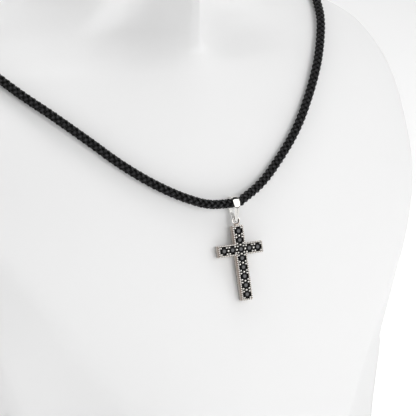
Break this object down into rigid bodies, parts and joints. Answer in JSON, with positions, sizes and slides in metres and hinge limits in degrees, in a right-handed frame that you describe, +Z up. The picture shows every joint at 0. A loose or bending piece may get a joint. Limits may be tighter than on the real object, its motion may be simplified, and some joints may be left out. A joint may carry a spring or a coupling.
{
  "type": "cross pendant necklace on neck bust",
  "caption": "Stone-set cross pendant on a tapered bail, hung from a black braided cord round a plain white neck bust that stands on its flat base.",
  "frame": {"origin": "middle of the neck bust's flat base, on the surface that it stands on", "axes": "+Z up, -Y the way the bust faces, +X the wearer's left"},
  "size_m": [0.162, 0.1304, 0.203],
  "materials": {
    "bust_white": "matte white leatherette",
    "cord_black": "round black braid, slightly glossy",
    "silver_plain": "plain polished silver",
    "silver_polished": "mirror polished silver",
    "silver_oxidised": "silver with darkened recesses and bright beads",
    "stone_black": "polished black faceted stone"
  },
  "bodies": {
    "display": {"neck_bust": "bust_white", "cord": "cord_black", "clasp": "silver_plain"},
    "bail": {"bail": "silver_polished"},
    "cross": {"cross": "silver_oxidised", "stone_01": "stone_black", "stone_02": "stone_black", "stone_03": "stone_black", "stone_04": "stone_black", "stone_05": "stone_black", "stone_06": "stone_black", "stone_07": "stone_black", "stone_08": "stone_black", "stone_09": "stone_black", "stone_10": "stone_black", "stone_11": "stone_black", "stone_12": "stone_black"}
  },
  "joints": [
    {"name": "bail_swing", "type": "hinge", "parent": "display", "child": "bail", "pos_m": [0, -0.022, 0.108], "axis": [-0.9925, 0.1219, 0], "range_deg": [0, 90]},
    {"name": "cross_swing", "type": "hinge", "parent": "bail", "child": "cross", "pos_m": [-0.0001, -0.02279, 0.10386], "axis": [-0.9925, 0.1219, 0], "range_deg": [0, 45]}
  ]
}
